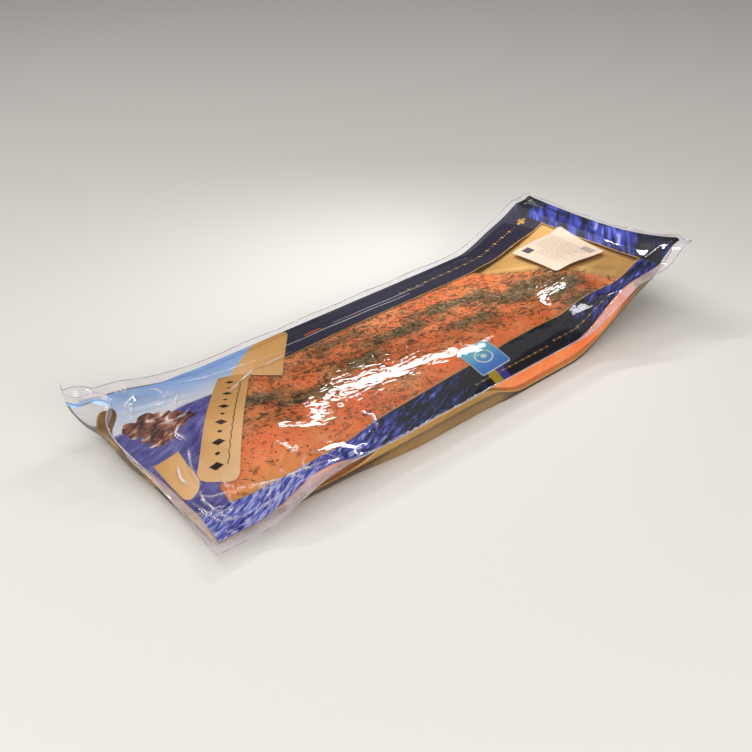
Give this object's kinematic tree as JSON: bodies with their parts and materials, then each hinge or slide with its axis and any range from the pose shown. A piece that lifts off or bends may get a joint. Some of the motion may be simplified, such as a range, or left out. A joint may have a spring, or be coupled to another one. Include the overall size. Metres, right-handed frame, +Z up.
{
  "type": "sliced gravlax pack",
  "caption": "Long sealed clear pack with a welded rim and printed top film over a side of sliced, dill-covered gravlax on a gold board, with raised ends and a paper label.",
  "frame": {"origin": "middle of the pack's outline seen from above, on the surface it rests on", "axes": "+X runs along the pack towards its raised end with the paper label, +Y across it, +Z up"},
  "size_m": [0.5934, 0.2214, 0.0757],
  "materials": {
    "film_and_contents": "glossy clear film over orange fish, dark blue print and gold board",
    "label_paper": "matt white paper with fine grey print"
  },
  "bodies": {
    "root": {"sealed_pack": "film_and_contents", "paper_label": "label_paper"}
  },
  "joints": []
}
